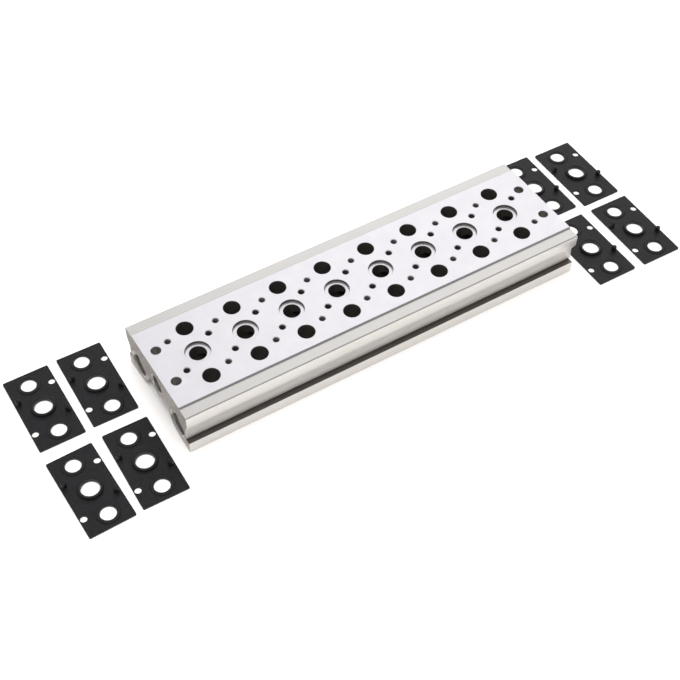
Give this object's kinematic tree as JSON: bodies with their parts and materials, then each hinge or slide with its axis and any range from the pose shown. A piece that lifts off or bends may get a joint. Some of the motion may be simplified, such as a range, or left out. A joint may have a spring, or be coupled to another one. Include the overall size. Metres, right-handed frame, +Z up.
{
  "type": "pneumatic valve manifold base",
  "caption": "Anodised aluminium valve island base with a row of ported stations on top, threaded ports in both ends, and its loose rubber gaskets laid beside it.",
  "frame": {"origin": "on the underside, below the middle of the base; also the middle of the bottom of the box around base and gaskets", "axes": "+X along the row of stations, +Y across the base towards the rear exhaust gallery, +Z up out of the pad that the valves seat on"},
  "size_m": [0.3111, 0.0912, 0.024],
  "materials": {
    "anodised_aluminium": "extruded and milled, matt silver anodised",
    "nitrile_rubber": "moulded, matt black"
  },
  "bodies": {
    "root": {"manifold_base": "anodised_aluminium", "gasket_1": "nitrile_rubber", "gasket_2": "nitrile_rubber", "gasket_3": "nitrile_rubber", "gasket_4": "nitrile_rubber", "gasket_5": "nitrile_rubber", "gasket_6": "nitrile_rubber", "gasket_7": "nitrile_rubber", "gasket_8": "nitrile_rubber"}
  },
  "joints": []
}
